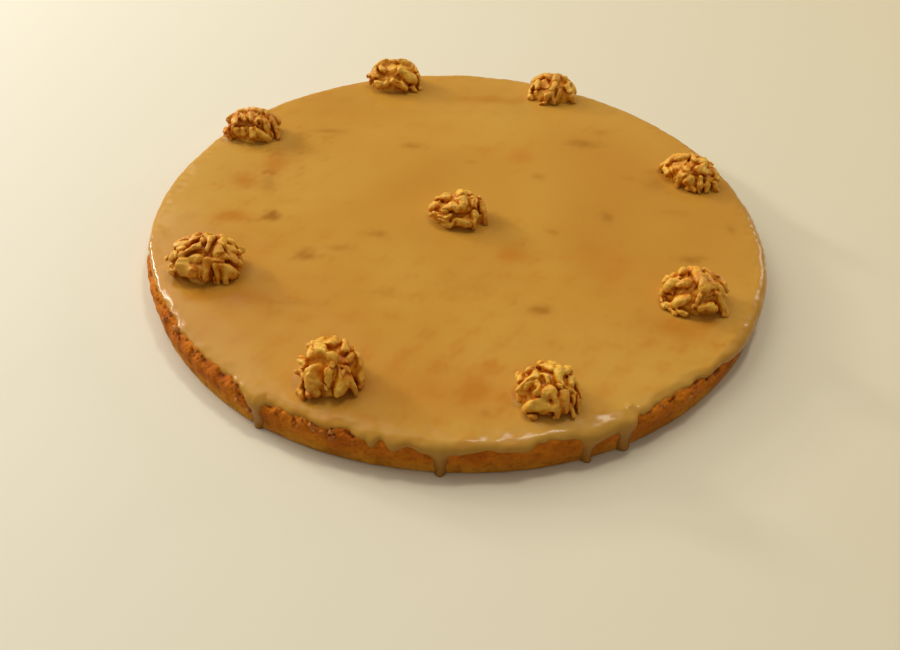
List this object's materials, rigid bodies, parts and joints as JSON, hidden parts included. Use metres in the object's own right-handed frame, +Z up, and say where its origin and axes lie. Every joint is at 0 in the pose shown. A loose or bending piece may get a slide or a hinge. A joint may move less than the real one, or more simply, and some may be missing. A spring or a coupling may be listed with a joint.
{
  "type": "walnut almond cake",
  "caption": "Low round sponge cake under a poured coffee icing that drips down its side, topped with walnut halves.",
  "frame": {"origin": "middle of the bottom face, on the surface that the cake stands on", "axes": "+Z up through the middle of the cake, -Y towards the side that the picture looks at, +X to its right"},
  "size_m": [0.2761, 0.2776, 0.0321],
  "materials": {
    "sponge": "moist open brown crumb",
    "icing": "smooth poured coffee icing with a soft gloss",
    "walnut": "golden brown nut skin, lighter on the ridges"
  },
  "bodies": {
    "root": {"sponge": "sponge", "icing": "icing", "walnut_back_left": "walnut", "walnut_back_right": "walnut", "walnut_left_back": "walnut", "walnut_right_back": "walnut", "walnut_centre": "walnut", "walnut_left": "walnut", "walnut_right": "walnut", "walnut_front_left": "walnut", "walnut_front_right": "walnut"}
  },
  "joints": []
}
